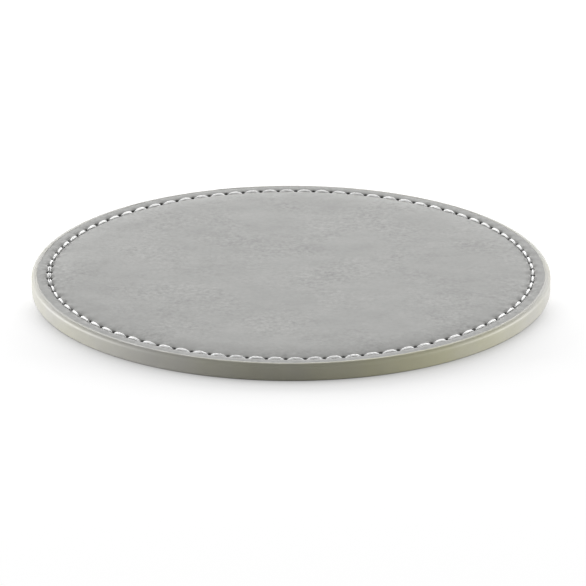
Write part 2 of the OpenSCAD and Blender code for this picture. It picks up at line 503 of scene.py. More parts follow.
def seam_cells(inner, outer, layers, along=LAYER_HOLE, across=LAYER_HOLE):
    """Radius and angle of the points round every needle hole, from its rim to its cell's sides.

    A point moves in a straight line from the hole's ellipse to the cell's side, with its layers closer
    together near the rim. The arrays are holes by way round by layers."""
    side_x, side_y = cell_sides()
    phi = np.arctan2(side_y, side_x)
    hole = np.arange(STITCHES)[:, None, None]
    step = np.linspace(0, 1, layers + 1) ** LAYER_POWER
    rim_x = along * np.cos(phi)[None, :, None]
    rim_y = hole_reach(hole, across) * np.sin(phi)[None, :, None]
    edge_x = HALF_PITCH * side_x[None, :, None]
    edge_y = np.where(side_y < 0, side_y * (SEAM_R - inner), side_y * (outer - SEAM_R))[None, :, None]
    x = rim_x + (edge_x - rim_x) * step
    y = rim_y + (edge_y - rim_y) * step
    return SEAM_R + y, SEAM_START + hole * PITCH_A + x / SEAM_R


def cell_patch(height, *cell_sizes):
    """Points of the seam's cells, at heights from a function of radius and angle."""
    radius, angle = seam_cells(*cell_sizes)
    return polar(radius, angle, height(radius, angle))


def hole_walls(start, stop, steps=2):
    """Straight walls of the needle holes, from the rims of one set of cells to those of another."""
    start_rim, stop_rim = start[:, :, 0, None], stop[:, :, 0, None]
    return start_rim + (stop_rim - start_rim) * np.linspace(0, 1, steps)[:, None]


print(f"{STITCHES} cells with {2 * (SIDE_T + SIDE_R)} points round each hole")

# %% Rows round the disc
COLUMNS = STITCHES * SIDE_T


def column_angles(count=COLUMNS):
    """Angles of the polar columns, with the first repeated at the end to close the ring."""
    return SEAM_START - PITCH_A / 2 + np.arange(count + 1) * 2 * np.pi / count


def surface_patch(radii, height):
    """A polar patch at some radii, at heights from a function of radius and angle."""
    radius, angle = np.asarray(radii)[:, None], column_angles()[None, :]
    return polar(radius, angle, height(radius, angle))


def section_patch(rows):
    """A polar patch that carries a section, given as rows of radius and height, round the disc."""
    rows = np.asarray(rows)
    return polar(rows[:, :1], column_angles()[None, :], rows[:, 1:])


def turns(start, stop, count):
    """Evenly spread angles in radians between two in degrees."""
    return np.radians(np.linspace(start, stop, count))


def corner_rows(centre, turn, reach, rise=None):
    """Rows of radius and height round a corner's centre: reach times cosine and rise times sine of the turn.

    Without a rise of its own, the corner is round."""
    rise = reach if rise is None else rise
    return np.stack([centre[0] + reach * np.cos(turn), centre[1] + rise * np.sin(turn)], axis=-1)


print(f"{COLUMNS} columns near the seam, {STITCHES} in the middle")

# %% Gather patches into one skin
MIDDLE_RADII = np.array([44, 40, 35, 29, 23, 17, 11, 5, 0]) * MM


class Skin:
    """Gathers patches of points, and the faces between them, into one list for a mesh."""

    def __init__(self):
        self.points, self.faces, self.count = [], [], 0

    def add(self, points):
        """Adds points and returns their numbers in the same layout."""
        shape = points.shape[:-1]
        self.points.append(points.reshape(-1, 3))
        index = self.count + np.arange(np.prod(shape)).reshape(shape)
        self.count += index.size
        return index

    def grid(self, points):
        """Adds a patch of rows and columns with its faces."""
        index = self.add(points)
        self.faces += grid_faces(index).tolist()
        return index

    def cells(self, points):
        """Adds the cells of the seam, closing the way round each hole."""
        self.faces += grid_faces(close_round(self.add(points))).tolist()

    def inside(self, radii, height):
        """Adds rows from the seam's cells inwards, and the middle that closes them."""
        self.middle(self.grid(surface_patch(radii, height))[-1], height)

    def middle(self, ring, height):
        """Closes a sheet inside a ring: fans down to one column a stitch, then rows to the centre.

        The ring's columns along one stitch run to its two coarse columns, half of them to each, and one
        wedge fills what is left between the two fans."""
        radii, few = MIDDLE_RADII[:, None], column_angles(STITCHES)[None, :]
        near = self.grid(polar(radii, few, height(radii, few)))[0]
        fine = ring[:-1].reshape(STITCHES, SIDE_T)
        fine = np.concatenate([fine, np.roll(fine, -1, axis=0)[:, :1]], axis=1)
        half = SIDE_T // 2
        first = np.repeat(near[:-1, None], half, axis=1)
        second = np.repeat(near[1:, None], SIDE_T - half, axis=1)
        corner = np.concatenate([first, second], axis=1)
        fans = np.stack([fine[:, :-1], fine[:, 1:], corner], axis=-1).reshape(-1, 3)
        wedges = np.stack([near[:-1], fine[:, half], near[1:]], axis=-1)
        self.faces += fans.tolist() + wedges.tolist()

    def mesh(self, name):
        """The finished piece."""
        return mesh_piece(name, np.concatenate(self.points), self.faces)


print(f"the middle starts {1000 * MIDDLE_RADII[0]:.0f} mm from the centre")

# %% [markdown]
# The top leather
#
# The leather is the face that the photo shows. It could be a flat disc with the dip and the holes drawn
# by a bump, but the thread has to go through it, and from low down the dip shows. So it is one closed skin
# of face, back and edge, with true holes. A value on its points tells how near each one is to a hole.

# %% Build the top leather
BAND_IN = SEAM_R - 2.7 * MM
BAND_OUT = SEAM_R + 2.3 * MM
FACE_LAYERS = 12
SLOPE_ROWS = 12
CREST_ROWS = 4
WALL_STEPS = 4
CORNER_ROWS = 7
# Reach of the painted shade round a needle hole, in hole sizes, and its half width across the seam.
SHADE_REACH = 1.3
SHADE_ACROSS = 0.5 * MM


def pierced(spots):
    """Mask of painted shade: 0 on the face, rising to 1 at the rim of a needle hole and inside it."""
    x, y = spots[:, 0], spots[:, 1]
    along, out, hole = seam_place(np.hypot(x, y), np.arctan2(y, x))
    rho = np.hypot(along / HOLE_ALONG, out / hole_reach(hole, SHADE_ACROSS))
    return np.clip((SHADE_REACH - rho) / (SHADE_REACH - 1), 0, 1)


def build_leather():
    """Face, back, outer edge and hole walls, welded into one skin."""
    skin = Skin()
    face = cell_patch(leather_height, BAND_IN, BAND_OUT, FACE_LAYERS, HOLE_ALONG, HOLE_ACROSS)
    skin.cells(face)
    skin.inside(np.linspace(BAND_IN, SEAT_R, SLOPE_ROWS), leather_height)
    crest = surface_patch(np.linspace(BAND_OUT, CREST_R, CREST_ROWS), leather_height)
    shoulder = corner_rows(SHOULDER_AT, turns(90, 0, CORNER_ROWS), SHOULDER)[1:]
    back_edge = [(STACK_R, RIM_Z - LEATHER_T), (BAND_OUT, face_height(BAND_OUT) - LEATHER_T)]
    skin.grid(np.concatenate([crest, section_patch([*shoulder, *back_edge])]))
    back = cell_patch(back_height, BAND_IN, BAND_OUT, 2)
    skin.cells(back)
    skin.inside([BAND_IN, SEAT_R], back_height)
    skin.cells(hole_walls(face, back, WALL_STEPS))
    piece = skin.mesh("leather_top")
    point_values(piece.data, "pierced", pierced)
    return piece


leather = build_leather()

# %% [markdown]
# The finish of the leather
#
# The real face is light grey and matte. Its tone drifts in soft clouds that are drawn out from left to
# right, with fine specks that gather here and there. A photo could be laid on it, but a photo carries its
# own light and has one size only. So the tone is the cloudy group in three sizes, the two large ones on
# stretched coordinates. In and round the needle holes the colour is painted near black: the cut fibres are
# a little darker, and the rest is painted shade. The grain is a shallow bump.

# %% Finish the top leather
LEATHER_GREY = (0.366, 0.366, 0.355, 1)
# Near black for the needle holes: the cut fibres are a little darker, the rest is painted shade.
RAW_FIBRE_AND_SHADE = (0.02, 0.02, 0.018, 1)
DRAWN_OUT = (0.5, 0.75, 1.0)
CLUSTER_ENDS = (0.42, 0.62)
SPECK_AMOUNTS = (0.15, 0.8)
LEATHER_ROUGH = (0.6, 0.72)


def leather_finish():
    """Grey base times cloudy tone in two sizes and specks in clusters, painted near black in and round the
    holes (cut fibres a little darker, the rest painted shade), with fine grain.
    """
    finish, tree, shader = new_finish("grey leather", **{"Roughness": 0.65, "Specular IOR Level": 0.2})
    place = pattern_coords(tree)
    drawn = vector_maths(tree, "MULTIPLY", place, DRAWN_OUT)
    wide = use_group(tree, CLOUDY_TONE, drawn, LEATHER_GREY, Scale=115.0, Amount=0.32)
    small = use_group(tree, CLOUDY_TONE, drawn, wide.outputs["Color"], Scale=260.0, Amount=0.22)
    clusters = soft_noise(tree, place, Scale=60.0, Detail=2.0)
    amount = remap(tree, clusters, CLUSTER_ENDS, SPECK_AMOUNTS)
    specks = use_group(tree, CLOUDY_TONE, place, small.outputs["Color"], Scale=1100.0, Amount=amount)
    grain = use_group(tree, PEBBLED_GRAIN, place, Scale=1300.0)
    # Painted shade: the pierced mask turns the face near black in and round each needle hole.
    hole = add_node(tree, "ShaderNodeAttribute", attribute_name="pierced").outputs["Fac"]
    colour = blend(tree, "RGBA", hole, specks.outputs["Color"], RAW_FIBRE_AND_SHADE)
    feed(tree, shader.inputs["Base Color"], colour)
    feed(tree, shader.inputs["Roughness"], remap(tree, grain.outputs["Valley"], (0.0, 1.0), LEATHER_ROUGH))
    bump(tree, shader, grain.outputs["Height"], 0.35, 0.03 * MM)
    return finish


seat_piece(leather, "top_leather", leather_finish())

# %% [markdown]
# The edge coat
#
# Edge paint is brushed on in layers and rubbed down, so it is thickest on the wall, thins out over the
# rounded shoulder and ends in a soft uneven line on the leather. A bevelled ring would have a line that is
# too true. Here one section is carried round the disc, and its line and its wall drift with sums of sines.
# Its inner side hides just inside the stack.

# %% Build the edge coat
EDGE_COLUMNS = 480
PAINT_TOP_T = 0.04 * MM
PAINT_T = RIM_R - STACK_R
SINK = 0.02 * MM
LINE_IN = 0.25 * MM
LINE_DRIFT = 0.1 * MM
FEATHER_OUT = (0, 0.08 * MM, 0.2 * MM)
FEATHER_UP = (-SINK, 0.6 * PAINT_TOP_T, PAINT_TOP_T)
WALL_DRIFT = 0.03 * MM
LINE_WAVES = np.array([[0.45, 5, 1.0], [0.3, 13, 0.3], [0.25, 29, 2.0]])
WALL_WAVES = np.array([[0.3, 23, 900, 0], [0.2, 51, -1700, 1.3]])


def line_drift(angle):
    """Slow uneven drift of a brushed line, from about -1 to 1: a sum of sines of the angle."""
    share, times, phase = LINE_WAVES.T
    return (share * np.sin(times * angle[..., None] + phase)).sum(axis=-1)


def wall_drift(angle, height):
    """Uneven thickness of the paint on the wall, from about 0 to 1: a sum of slanting sines."""
    share, times, climb, phase = WALL_WAVES.T
    return 0.5 + (share * np.sin(times * angle[..., None] + climb * height + phase)).sum(axis=-1)


def build_edge_coat():
    """Outer rows from the feathered line over shoulder, wall and foot, and inner rows inside the stack."""
    angle = np.linspace(0, 2 * np.pi, EDGE_COLUMNS + 1)[None, :]
    line = CREST_R - LINE_IN - LINE_DRIFT * line_drift(angle)
    feather = [(line + out, face_height(line) + up) for out, up in zip(FEATHER_OUT, FEATHER_UP)]
    over, under = turns(90, 0, 9), turns(0, -90, 6)[1:]
    thick = PAINT_TOP_T + (PAINT_T - PAINT_TOP_T) * np.cos(over)
    shoulder = corner_rows(SHOULDER_AT, over, SHOULDER + thick)
    wall_z = np.linspace(RIM_Z - SHOULDER, FOOT, 8)[1:]
    wall = [(RIM_R - WALL_DRIFT * wall_drift(angle, z), z) for z in wall_z]
    foot = corner_rows(FOOT_AT, under, FOOT + PAINT_T, FOOT)
    foot_in = corner_rows(FOOT_AT, under[::-1], FOOT - SINK)
    shoulder_in = corner_rows(SHOULDER_AT, over[::-1], SHOULDER - SINK)
    rows = [*feather, *shoulder, *wall, *foot, *foot_in, *shoulder_in, feather[0]]
    points = np.stack([polar(radius, angle, height)[0] for radius, height in rows])
    index = np.arange(points[..., 0].size).reshape(points.shape[:2])
    return mesh_piece("edge_coat", points.reshape(-1, 3), grid_faces(index).tolist())


edge_coat = build_edge_coat()

# %% [markdown]
# The finish of the edge coat
#
# The paint is a satin grey that turns olive on one side of the front. A gradient across the picture would
# slide when the view turns. So the olive grows with nearness to one place on the rim, broken up by noise,
# and brush marks are a soft bump.

# %% Finish the edge coat
EDGE_GREY = (0.356, 0.35, 0.322, 1)
EDGE_OLIVE = (0.385, 0.374, 0.26, 1)
OLIVE_AT = (26 * MM, -54 * MM, 2 * MM)
OLIVE_REACH = 50 * MM
OLIVE_ENDS = (0.6, -0.4)


def edge_finish():
    """Grey paint that turns olive round one place on the rim, satin, with a faint brushed unevenness."""
    finish, tree, shader = new_finish("edge paint", **{"Roughness": 0.5, "Specular IOR Level": 0.4})
    place = pattern_coords(tree)
    apart = add_node(tree, "ShaderNodeVectorMath", object_coords(tree), OLIVE_AT, operation="DISTANCE")
    near = remap(tree, apart.outputs["Value"], (0.0, OLIVE_REACH), OLIVE_ENDS)
    patches = soft_noise(tree, place, Scale=90.0, Detail=2.0)
    olive = maths(tree, "ADD", near, patches, use_clamp=True)
    paint = blend(tree, "RGBA", olive, EDGE_GREY, EDGE_OLIVE)
    tone = use_group(tree, CLOUDY_TONE, place, paint, Scale=160.0, Amount=0.18)
    feed(tree, shader.inputs["Base Color"], tone.outputs["Color"])
    bump(tree, shader, soft_noise(tree, place, Scale=420.0, Detail=2.0), 0.25, 0.05 * MM)
    return finish


seat_piece(edge_coat, "edge_paint", edge_finish())

# %% [markdown]
# A thread as a twisted section on a path
#
# Both threads are three plies twisted together. A curve with a round bevel would be smooth and the same
# all along. Here a section with a groove between each two plies is carried along a path and turned as it
# goes, so the plies wind. A path is a smooth curve through a few rows of control values, and its steps are
# shorter where the thread can be seen.

# %% Follow a path
HIDDEN_SHARE = 0.4
HIDDEN_FADE = 0.3 * MM


def smooth_path(controls, samples=10):
    """Catmull-Rom curve through rows of controls, sampled evenly in each span."""
    ends = np.concatenate([2 * controls[:1] - controls[1:2], controls, 2 * controls[-1:] - controls[-2:-1]])
    spans = np.stack([ends[:-3], ends[1:-2], ends[2:-1], ends[3:]], axis=1)
    t = np.arange(samples)[:, None] / samples
    basis = np.concatenate([-t + 2 * t**2 - t**3, 2 - 5 * t**2 + 3 * t**3,
                            t + 4 * t**2 - 3 * t**3, -(t**2) + t**3], axis=1) / 2
    curve = np.einsum("sk,nkc->nsc", basis, spans).reshape(-1, controls.shape[1])
    return np.concatenate([curve, controls[-1:]])


def even_steps(curve, step, beyond):
    """The curve resampled in equal steps, longer where it is hidden.

    A length counts in full where the curve is well beyond the height at which it comes into sight, and
    only by the hidden share below it."""
    weight = np.clip(beyond / HIDDEN_FADE, HIDDEN_SHARE, 1)
    lengths = np.linalg.norm(np.diff(curve[:, :3], axis=0), axis=1) * (weight[1:] + weight[:-1]) / 2
    way = np.concatenate([[0], np.cumsum(lengths)])
    stops = np.linspace(0, way[-1], int(way[-1] / step) + 1)
    return np.stack([np.interp(stops, way, column) for column in curve.T], axis=-1)


def directions(angle):
    """Unit directions outwards, along the seam and up at each angle."""
    zero = np.zeros_like(angle)
    out = np.stack([np.cos(angle), np.sin(angle), zero], axis=-1)
    along = np.stack([-np.sin(angle), np.cos(angle), zero], axis=-1)
    return out, along, np.broadcast_to([0.0, 0.0, 1.0], out.shape)


def control_rows(point, diameter, start):
    """Rows of point, diameter and section direction, from arrays of the same layout."""
    diameter = np.broadcast_to(diameter, point.shape[:-1])[..., None]
    return np.concatenate([point, diameter, np.broadcast_to(start, point.shape)], axis=-1)


print(f"hidden lengths take {1 / HIDDEN_SHARE:.1f} times longer steps")

# %% Carry a section of plies along a path
THREAD_SIDES = 15
PLIES = 3


def unit(vectors):
    """Vectors of length one."""
    return vectors / np.linalg.norm(vectors, axis=-1, keepdims=True)


def wrap_thread(mesh, across, along):
    """A UV map with the way round as u and turns of the lay as v; the last column closes at u = 1."""
    corners = np.zeros(len(mesh.loops), dtype=np.int32)
    mesh.loops.foreach_get("vertex_index", corners)
    u, v = across[corners], along[corners]
    quads = (len(mesh.loops) - 2 * THREAD_SIDES) // 4
    face_u = u[:4 * quads].reshape(-1, 4)
    face_u += (face_u == 0) & (face_u.max(axis=1, keepdims=True) > 0.5)
    u[:4 * quads] = face_u.ravel()
    layer = mesh.uv_layers.new(name="thread")
    layer.data.foreach_set("uv", np.stack([u, v], axis=-1).astype(np.float32).ravel())


def thread_piece(name, path, lay, wide, groove):
    """A twisted thread along a path of rows: point, diameter, and a direction that its section starts from.

    The section is a circle with one shallow groove between each two plies, turned once in each length of
    lay. Its width across the path is multiplied by wide, as the thread lies a little flattened."""
    point, diameter, start = path[:, :3], path[:, 3], path[:, 4:]
    way = np.concatenate([[0], np.cumsum(np.linalg.norm(np.diff(point, axis=0), axis=1))])
    ahead = unit(np.gradient(point, axis=0))
    side = unit(start - np.sum(start * ahead, axis=1, keepdims=True) * ahead)
    up = np.cross(ahead, side)
    phi = 2 * np.pi * np.arange(THREAD_SIDES) / THREAD_SIDES
    turn = phi[None, :] - 2 * np.pi * way[:, None] / lay
    reach = diameter[:, None] / 2 * (1 - groove * (1 - np.abs(np.cos(PLIES * turn / 2))))
    sideways = wide * np.cos(phi)[:, None] * side[:, None]
    upwards = np.sin(phi)[:, None] * up[:, None]
    points = point[:, None] + reach[..., None] * (sideways + upwards)
    index = np.arange(points[..., 0].size).reshape(points.shape[:2])
    caps = [index[0].tolist(), index[-1, ::-1].tolist()]
    faces = grid_faces(close_round(index)).tolist() + caps
    piece = mesh_piece(name, points.reshape(-1, 3), faces, weld=False)
    across = np.broadcast_to(phi[None, :] / (2 * np.pi), index.shape).ravel()
    along = np.broadcast_to(way[:, None] / lay, index.shape).ravel()
    wrap_thread(piece.data, across, along)
    print(f"{name}: {way[-1]:.3f} m of thread")
    return piece


print(f"a section has {THREAD_SIDES} points and {PLIES} plies")

# %% [markdown]
# The needle thread
#
# One white thread makes every stitch on top. It rises out of a hole, bends over a rounded shoulder, runs
# flat over the leather and dives into the next hole, where it loops round the lower thread. Where the end
# of the seam laps over its start, two threads share the holes and bow apart between them. The stitches
# could be 82 copies of one short tube, but a real seam is one thread, and no two stitches are quite alike.
# So loops and stitches are joined into one path, and each stitch is slanted and lifted a little.

# %% Loops in the needle holes
KNOT_D = 0.36 * MM
LOOP_R = 0.4 * MM
KNOT_Z = 2.033 * MM
KNOT_SPLIT = 0.46 * MM
LOOP_POINTS = 7
FIRST_PASS, PLAIN, SECOND_PASS = -1, 0, 1


def pass_of(hole):
    """First or second pass of the lap, or neither."""
    return np.where(hole <= LAPPED, FIRST_PASS, np.where(hole >= STITCHES, SECOND_PASS, PLAIN))


def lap_side(stitch, share):
    """Which side of the seam a lapped stitch keeps to, from its first hole's pass to its second's."""
    return pass_of(stitch)[:, None] * (1 - share) + pass_of(stitch + 1)[:, None] * share


def hole_loops(sense, leg_z, depth, across_seam):
    """Loops of a thread in every hole: a leg, half a turn and a leg, hanging (-1) or standing (1).

    A loop lies along or across the seam, and in the second pass of the lap it lies the other way. The two
    threads' loops are never the same way round, so that they hook into each other."""
    hole = np.arange(STITCHES + LAPPED + 1)
    out, along, up = directions(SEAM_START + hole * PITCH_A)
    centre = (SEAM_R + LAP_SHIFT * pass_of(hole))[:, None] * out
    crossing = (pass_of(hole) == SECOND_PASS) != across_seam
    plane = np.where(crossing[:, None], out, along)
    start = np.where(crossing[:, None], along, out)
    turn = turns(0, 180, LOOP_POINTS)
    side = np.concatenate([[-1], -np.cos(turn), [1]]) * LOOP_R
    rise = np.concatenate([[0], sense * LOOP_R * np.sin(turn), [0]])
    height = (depth + KNOT_SPLIT * pass_of(hole))[:, None] + rise
    height[:, [0, -1]] = leg_z
    point = centre[:, None] + side[:, None] * plane[:, None] + height[..., None] * up[:, None]
    return control_rows(point, KNOT_D, start[:, None])


print(f"{STITCHES + LAPPED + 1} loops, the last {LAPPED + 1} in holes that are used twice")

# %% Stitches on top
LEG_DROP = 0.8 * MM
LAP_CLOSE = 0.1 * MM
LAP_D = 0.65
SLANT, SLANT_TIMES, SLANT_PHASE = 0.05 * MM, 2.4, 0.7
PROUD, PROUD_TIMES, PROUD_PHASE = 0.08, 1.7, 0.2
NEEDLE_STEP = 0.13 * MM
NEEDLE_LAY = 2.4 * MM
NEEDLE_WIDE = 0.8
PLY_GROOVE = 0.13
# Depth over which the painted shade of a thread sunk in a hole grows to full.
SUNK_H = 0.5 * MM


def stitch_arches():
    """Controls of every stitch on top: up out of a hole, over the shoulder, flat, and down again."""
    stitch = np.arange(STITCHES + LAPPED)
    way = np.concatenate([ARCH_ALONG, [HALF_PITCH], 2 * HALF_PITCH - ARCH_ALONG[::-1]])
    lift = np.concatenate([ARCH_LIFT, ARCH_LIFT[-2::-1]])
    diameter = np.concatenate([ARCH_D, ARCH_D[-2::-1]])
    share = way / (2 * HALF_PITCH)
    out, _, up = directions(SEAM_START + (stitch[:, None] + share) * PITCH_A)
    shift = lap_side(stitch, share)
    apart = LAP_CLOSE + (LAP_SHIFT - LAP_CLOSE) * np.sin(np.pi * share)
    slant = SLANT * np.sin(SLANT_TIMES * stitch + SLANT_PHASE)[:, None] * np.cos(np.pi * share)
    radius = SEAM_R + apart * shift + slant
    diameter = diameter * (1 - (1 - LAP_D) * np.abs(shift))
    proud = 1 + PROUD * np.sin(PROUD_TIMES * stitch + PROUD_PHASE)[:, None]
    height = face_height(radius) + np.where(lift > 0, lift * proud, lift)
    return control_rows(radius[..., None] * out + height[..., None] * up, diameter, out)


def needle_path():
    """Half a loop, then stitches and loops in turn, and half a loop at the end of the seam."""
    loops = hole_loops(-1, SEAM_Z - LEG_DROP, KNOT_Z, across_seam=False)
    arches = stitch_arches()
    middle = np.concatenate([loops[1:-1], arches[1:]], axis=1)
    controls = np.concatenate([loops[0, -2:], arches[0], *middle, loops[-1, :2]])
    curve = smooth_path(controls)
    return even_steps(curve, NEEDLE_STEP, curve[:, 2] - SEAM_Z + LEG_DROP)


def sunk(spots):
    """Mask of painted shade: 0 at the height of the seam, rising to 1 deep in a needle hole."""
    return np.clip((SEAM_Z - spots[:, 2]) / SUNK_H, 0, 1)


stitching = thread_piece("stitching_top", needle_path(), NEEDLE_LAY, NEEDLE_WIDE, PLY_GROOVE)
point_values(stitching.data, "sunk", sunk)

# %% [markdown]
# The finish of the threads
#
# White thread lets light in between its fibres, so it looks soft and has no hard shadow side. Subsurface
# light gives that, and a little sheen stands for loose fibres. The fibres follow the thread because they
# read its own UV map: round the section and along the lay. Where the thread is sunk in a hole, its colour
# is painted dark as a painted shade.

# %% Finish the needle thread
THREAD_WHITE = np.array([0.95, 0.95, 0.93])
FIBRE_DARK = 0.9
# Share of the thread's colour left deep in a hole: painted shade.
PAINTED_SUNK_SHADE = 0.12
FIBRE_TURNS = -1.0


def opaque(colour):
    """A colour of three parts with full cover as the fourth."""
    return (*colour, 1)


def thread_finish(name, colour):
    """Thread: twisted fibres as bump and as a faint change of tone, painted dark as shade where it is sunk in
    a hole.
    """
    finish, tree, shader = new_finish(name, **{
        "Roughness": 0.6, "Specular IOR Level": 0.35, "Sheen Weight": 0.25, "Sheen Roughness": 0.4,
        "Subsurface Weight": 1.0, "Subsurface Radius": (1, 1, 1), "Subsurface Scale": 1.2 * MM})
    wrap = add_node(tree, "ShaderNodeUVMap", uv_map="thread").outputs["UV"]
    fibres = use_group(tree, TWISTED_FIBRES, wrap, Turns=FIBRE_TURNS, Fineness=7.0).outputs["Height"]
    tone = blend(tree, "RGBA", fibres, opaque(FIBRE_DARK * colour), opaque(colour))
    # Painted shade: the sunk mask darkens the thread where it goes down into a needle hole.
    depth = add_node(tree, "ShaderNodeAttribute", attribute_name="sunk").outputs["Fac"]
    feed(tree, shader.inputs["Base Color"], blend(tree, "RGBA", depth, tone, opaque(PAINTED_SUNK_SHADE * colour)))
    bump(tree, shader, fibres, 0.5, 0.03 * MM)
    return finish


seat_piece(stitching, "needle_thread", thread_finish("white thread", THREAD_WHITE))

# %% [markdown]
# The bobbin thread
#
# Turned over, the coaster shows the lower thread: straight runs in a shallow channel, so that the thread
# never rubs on the table. In each hole it stands up in a loop across the seam and hooks the needle thread.
# It could be left out, as it hardly ever shows, but then the loops above would hang on nothing. It is made
# with the same helpers as the needle thread.

# %% Build the bobbin thread
BOBBIN_D = 0.5 * MM
CHANNEL_H = 0.54 * MM
RUN_Z = 0.27 * MM
LEAVE = 1.164 * MM
BOBBIN_SEEN_Z = 1.0 * MM
BOBBIN_STEP = 0.14 * MM
BOBBIN_LAY = 2.0 * MM
LOWER_WHITE = np.array([0.80, 0.80, 0.77])


def bobbin_path():
    """Runs in the channel and standing loops in turn; a loop's legs start to turn into the runs."""
    stitch = np.arange(STITCHES + LAPPED)
    share = np.array([LEAVE, HALF_PITCH, 2 * HALF_PITCH - LEAVE]) / (2 * HALF_PITCH)
    out, _, up = directions(SEAM_START + (stitch[:, None] + share) * PITCH_A)
    radius = SEAM_R + LAP_SHIFT * lap_side(stitch, share)
    runs = control_rows(radius[..., None] * out + RUN_Z * up, BOBBIN_D, out)
    loops = hole_loops(1, CHANNEL_H - KNOT_D / 3, KNOT_Z - LOOP_R, across_seam=True)
    hole_out, _, _ = directions(SEAM_START + np.arange(len(loops)) * PITCH_A)
    loops[:, [0, -1], 4:] += hole_out[:, None]
    middle = np.concatenate([loops[1:-1], runs[1:]], axis=1)
    curve = smooth_path(np.concatenate([runs[0], *middle]))
    return even_steps(curve, BOBBIN_STEP, BOBBIN_SEEN_Z - curve[:, 2])


stitching_under = thread_piece("stitching_under", bobbin_path(), BOBBIN_LAY, 1.0, PLY_GROOVE)
seat_piece(stitching_under, "bobbin_thread", thread_finish("lower thread", LOWER_WHITE))

# %% [markdown]
# The backing
#
# The side that lies on the table is a napped microfibre, with the channel for the lower thread pressed
# into it. The channel could be cut out of a disc, but its roof has the needle holes too. So this is another
# pierced sheet, with the cells of the seam in the roof of the channel. The nap is far too fine for hairs,
# and comes from a noise in the tone, a soft sheen and a bump.

# %% Build the backing
CHANNEL_W = 2.74 * MM
LIP = 0.08 * MM
LIP_ROWS = 4
FAN_STEP = 1 * MM


def build_backing():
    """Underside with its channel, rounded foot, outer edge, upper side and hole walls."""
    skin = Skin()
    inner, outer = SEAM_R - CHANNEL_W / 2, SEAM_R + CHANNEL_W / 2
    roof = cell_patch(level(CHANNEL_H), inner, outer, 3)
    skin.cells(roof)
    lip_in = corner_rows((inner - LIP, LIP), turns(0, -90, LIP_ROWS), LIP)
    skin.grid(section_patch([(inner, CHANNEL_H), *lip_in, (SEAT_R, 0)]))
    skin.inside([SEAT_R, SEAT_R - FAN_STEP], level(0))
    lip_out = corner_rows((outer + LIP, LIP), turns(180, 270, LIP_ROWS), LIP)
    foot = corner_rows(FOOT_AT, turns(-90, 0, CORNER_ROWS), FOOT)
    edge = [(STACK_R, BACKING_T), (outer, BACKING_T)]
    skin.grid(section_patch([(outer, CHANNEL_H), *lip_out, *foot, *edge]))
    top = cell_patch(level(BACKING_T), inner, outer, 2)
    skin.cells(top)
    skin.inside([inner, SEAT_R], level(BACKING_T))
    skin.cells(hole_walls(roof, top))
    return skin.mesh("napped_backing")


backing = build_backing()

# %% Finish the backing
BACKING_GREY = (0.21, 0.21, 0.19, 1)


def backing_finish():
    """Grey microfibre: a short nap with a soft sheen, brushed lighter and darker in patches."""
    finish, tree, shader = new_finish("napped microfibre", **{
        "Roughness": 0.9, "Specular IOR Level": 0.2, "Sheen Weight": 0.4, "Sheen Roughness": 0.5})
    place = pattern_coords(tree)
    wide = use_group(tree, CLOUDY_TONE, place, BACKING_GREY, Scale=70.0, Amount=0.35)
    nap = use_group(tree, CLOUDY_TONE, place, wide.outputs["Color"], Scale=2600.0, Amount=0.6)
    feed(tree, shader.inputs["Base Color"], nap.outputs["Color"])
    pile = soft_noise(tree, place, Scale=3200.0, Detail=3.0, Roughness=0.7)
    bump(tree, shader, pile, 0.8, 0.12 * MM)
    return finish


seat_piece(backing, "backing", backing_finish())

# %% [markdown]
# Foam, board and glue
#
# These layers are inside, behind the paint, and show only when the coaster is taken apart. The foam is
# soft and could be pressed flat by a simulation. It is so thin that a formula does: its sheet follows the
# leather's back and is thin at the seam. Board and glue films are right as solids and only get a finish.

# %% Build the foam
FOAM_ROWS = 5


def build_foam():
    """A pierced sheet between the flat top of the glue and the back of the leather."""
    skin = Skin()
    low = cell_patch(level(FOAM_Z), BAND_IN, BAND_OUT, 2)
    high = cell_patch(back_height, BAND_IN, BAND_OUT, 2)
    skin.cells(low)
    skin.cells(high)
    skin.cells(hole_walls(low, high))
    skin.inside([BAND_IN, SEAT_R], level(FOAM_Z))
    skin.inside(np.linspace(BAND_IN, SEAT_R, FOAM_ROWS), back_height)
    upper = [(BAND_OUT, face_height(BAND_OUT) - LEATHER_T), (STACK_R, RIM_Z - LEATHER_T)]
    skin.grid(section_patch([*upper, (STACK_R, FOAM_Z), (BAND_OUT, FOAM_Z)]))
    return skin.mesh("foam_sheet")


foam = build_foam()

# %% Finish foam, board and glue
FOAM_CREAM = (0.69, 0.67, 0.57, 1)
BOARD_BROWN = (0.26, 0.19, 0.12, 1)
CEMENT_AMBER = (0.79, 0.64, 0.26, 1)


def toned_finish(name, roughness, colour, scale, amount):
    """A finish with a cloudy tone, ready for its bump, and the coordinates of its patterns."""
    finish, tree, shader = new_finish(name, Roughness=roughness)
    place = pattern_coords(tree)
    tone = use_group(tree, CLOUDY_TONE, place, colour, scale, amount)
    feed(tree, shader.inputs["Base Color"], tone.outputs["Color"])
    return finish, tree, shader, place


def foam_finish():
    """Pale foam with small open cells."""
    finish, tree, shader, place = toned_finish("pale foam", 0.9, FOAM_CREAM, scale=1200.0, amount=0.3)
    pores = use_group(tree, PEBBLED_GRAIN, place, Scale=4000.0)
    bump(tree, shader, pores.outputs["Height"], 0.6, 0.08 * MM)
    return finish


def board_finish():
    """Pressed leather fibre: brown with short darker fibres and a fine grain."""
    finish, tree, shader, place = toned_finish("fibre board", 0.8, BOARD_BROWN, scale=700.0, amount=0.7)
    grain = use_group(tree, PEBBLED_GRAIN, place, Scale=1800.0)
    bump(tree, shader, grain.outputs["Height"], 0.5, 0.05 * MM)
    return finish


